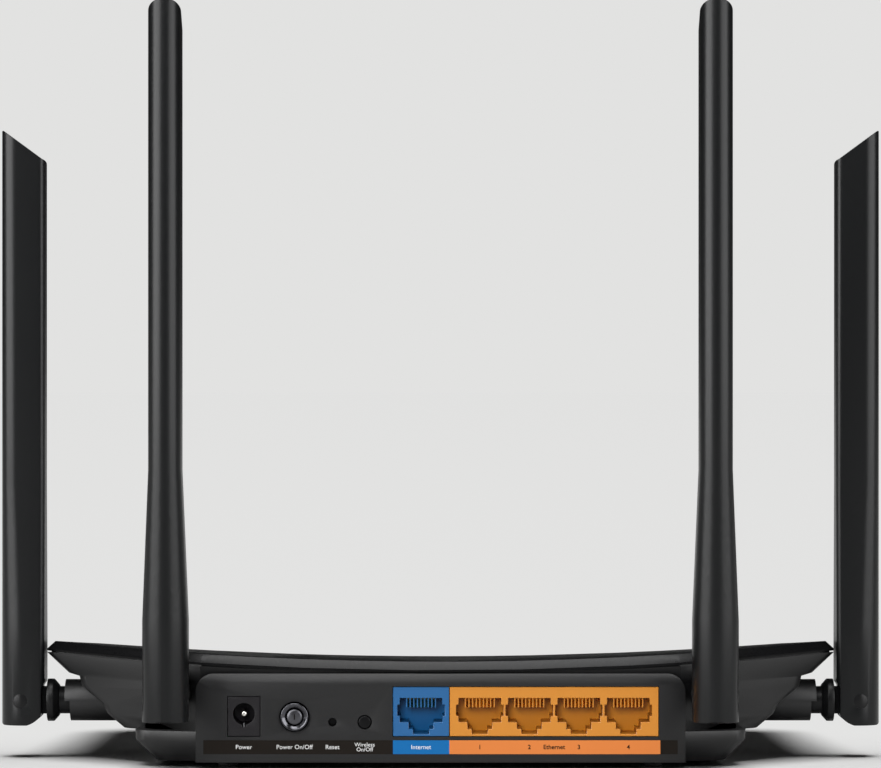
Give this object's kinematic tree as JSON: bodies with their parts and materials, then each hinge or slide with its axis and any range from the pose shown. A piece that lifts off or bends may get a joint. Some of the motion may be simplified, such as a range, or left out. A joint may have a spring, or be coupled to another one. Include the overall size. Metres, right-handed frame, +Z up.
{
  "type": "wireless router",
  "caption": "Low wireless router with a dished top plate, swept louvred rear corners, a rear port panel and folding blade antennas at the back and sides.",
  "frame": {"origin": "centre of the whole object's bounding box, on the desk plane under the feet", "axes": "+Z up, +Y towards the front edge with the status lights, the port panel faces -Y, +X to the right when looking at the ports"},
  "size_m": [0.2566, 0.1629, 0.2158],
  "materials": {
    "antenna_blade": "satin",
    "antenna_collar": "satin",
    "antenna_element": "drawn tube",
    "antenna_lead": "extruded jacket",
    "antenna_plugs": "plated",
    "antenna_sockets": "gilded",
    "board_screws": "zinc plated",
    "bottom_shell": "fine satin texture",
    "capacitors": "sleeved cans",
    "case_screws": "zinc plated",
    "crystals": "pressed can",
    "heat_sink": "anodised",
    "hinge_pin": "moulded",
    "inductors": "ferrite",
    "lan_jack_contacts": "gilded",
    "lan_jack_housing": "moulded orange",
    "lan_transformers": "moulded block",
    "light_guide": "clear moulding",
    "main_board": "solder mask",
    "memory_chips": "moulded package",
    "port_label_strip": "printed film with coloured fields",
    "power_button_cap": "moulded",
    "power_button_ring": "satin metallised",
    "power_jack_housing": "moulded",
    "power_jack_pin": "nickel plated",
    "power_jack_spring": "plated",
    "power_switch": "moulded",
    "processor": "moulded package",
    "rating_label": "blank printed label",
    "reset_plunger": "moulded",
    "reset_switch": "moulded",
    "rf_shields": "tin plated",
    "rubber_feet": "matt",
    "status_lights": "clear encapsulant",
    "top_cover": "fine satin texture",
    "wan_jack_contacts": "gilded",
    "wan_jack_housing": "moulded blue",
    "wireless_button": "moulded",
    "wireless_switch": "moulded"
  },
  "bodies": {
    "case": {"antenna_lead_rear_left": "antenna_lead", "antenna_lead_rear_right": "antenna_lead", "antenna_lead_side_left": "antenna_lead", "antenna_lead_side_right": "antenna_lead", "antenna_plugs": "antenna_plugs", "antenna_sockets": "antenna_sockets", "board_screws": "board_screws", "bottom_shell": "bottom_shell", "capacitors": "capacitors", "case_screws": "case_screws", "crystals": "crystals", "heat_sink": "heat_sink", "inductors": "inductors", "lan_jack_contacts": "lan_jack_contacts", "lan_jack_housing": "lan_jack_housing", "lan_transformers": "lan_transformers", "light_guide": "light_guide", "main_board": "main_board", "memory_chips": "memory_chips", "port_label_strip": "port_label_strip", "power_jack_housing": "power_jack_housing", "power_jack_pin": "power_jack_pin", "power_jack_spring": "power_jack_spring", "power_switch": "power_switch", "processor": "processor", "rating_label": "rating_label", "reset_switch": "reset_switch", "rf_shields": "rf_shields", "rubber_feet": "rubber_feet", "status_lights": "status_lights", "top_cover": "top_cover", "wan_jack_contacts": "wan_jack_contacts", "wan_jack_housing": "wan_jack_housing", "wireless_switch": "wireless_switch"},
    "power_button": {"power_button_ring": "power_button_ring", "power_button_cap": "power_button_cap"},
    "reset_plunger": {"reset_plunger": "reset_plunger"},
    "wireless_button": {"wireless_button": "wireless_button"},
    "collar_rear_left": {"antenna_collar_rear_left": "antenna_collar"},
    "blade_rear_left": {"antenna_blade_rear_left": "antenna_blade", "antenna_element_rear_left": "antenna_element", "hinge_pin_rear_left": "hinge_pin"},
    "collar_rear_right": {"antenna_collar_rear_right": "antenna_collar"},
    "blade_rear_right": {"antenna_blade_rear_right": "antenna_blade", "antenna_element_rear_right": "antenna_element", "hinge_pin_rear_right": "hinge_pin"},
    "collar_side_left": {"antenna_collar_side_left": "antenna_collar"},
    "blade_side_left": {"antenna_blade_side_left": "antenna_blade", "antenna_element_side_left": "antenna_element", "hinge_pin_side_left": "hinge_pin"},
    "collar_side_right": {"antenna_collar_side_right": "antenna_collar"},
    "blade_side_right": {"antenna_blade_side_right": "antenna_blade", "antenna_element_side_right": "antenna_element", "hinge_pin_side_right": "hinge_pin"}
  },
  "joints": [
    {"name": "rear_left_swivel", "type": "hinge", "parent": "case", "child": "collar_rear_left", "pos_m": [-0.0769, -0.07585, 0.0217], "axis": [0, 1, 0], "range_deg": [-90, 40]},
    {"name": "rear_left_tilt", "type": "hinge", "parent": "collar_rear_left", "child": "blade_rear_left", "pos_m": [-0.0769, -0.07585, 0.0217], "axis": [1, 0, 0], "range_deg": [0, 90]},
    {"name": "rear_right_swivel", "type": "hinge", "parent": "case", "child": "collar_rear_right", "pos_m": [0.0769, -0.07585, 0.0217], "axis": [0, 1, 0], "range_deg": [-40, 90]},
    {"name": "rear_right_tilt", "type": "hinge", "parent": "collar_rear_right", "child": "blade_rear_right", "pos_m": [0.0769, -0.07585, 0.0217], "axis": [1, 0, 0], "range_deg": [0, 90]},
    {"name": "side_left_swivel", "type": "hinge", "parent": "case", "child": "collar_side_left", "pos_m": [-0.12245, -0.01785, 0.0165], "axis": [1, 0, 0], "range_deg": [-90, 90]},
    {"name": "side_left_tilt", "type": "hinge", "parent": "collar_side_left", "child": "blade_side_left", "pos_m": [-0.12245, -0.01785, 0.0165], "axis": [0, -1, 0], "range_deg": [0, 90]},
    {"name": "side_right_swivel", "type": "hinge", "parent": "case", "child": "collar_side_right", "pos_m": [0.12245, -0.01785, 0.0165], "axis": [-1, 0, 0], "range_deg": [-90, 90]},
    {"name": "side_right_tilt", "type": "hinge", "parent": "collar_side_right", "child": "blade_side_right", "pos_m": [0.12245, -0.01785, 0.0165], "axis": [0, 1, 0], "range_deg": [0, 90]},
    {"name": "power_button_press", "type": "slide", "parent": "case", "child": "power_button", "axis": [0, 1, 0], "range_m": [0, 0.0016], "stiffness_N_per_m": 400},
    {"name": "reset_plunger_press", "type": "slide", "parent": "case", "child": "reset_plunger", "axis": [0, 1, 0], "range_m": [0, 0.0004], "stiffness_N_per_m": 800},
    {"name": "wireless_button_press", "type": "slide", "parent": "case", "child": "wireless_button", "axis": [0, 1, 0], "range_m": [0, 0.0005], "stiffness_N_per_m": 600}
  ]
}
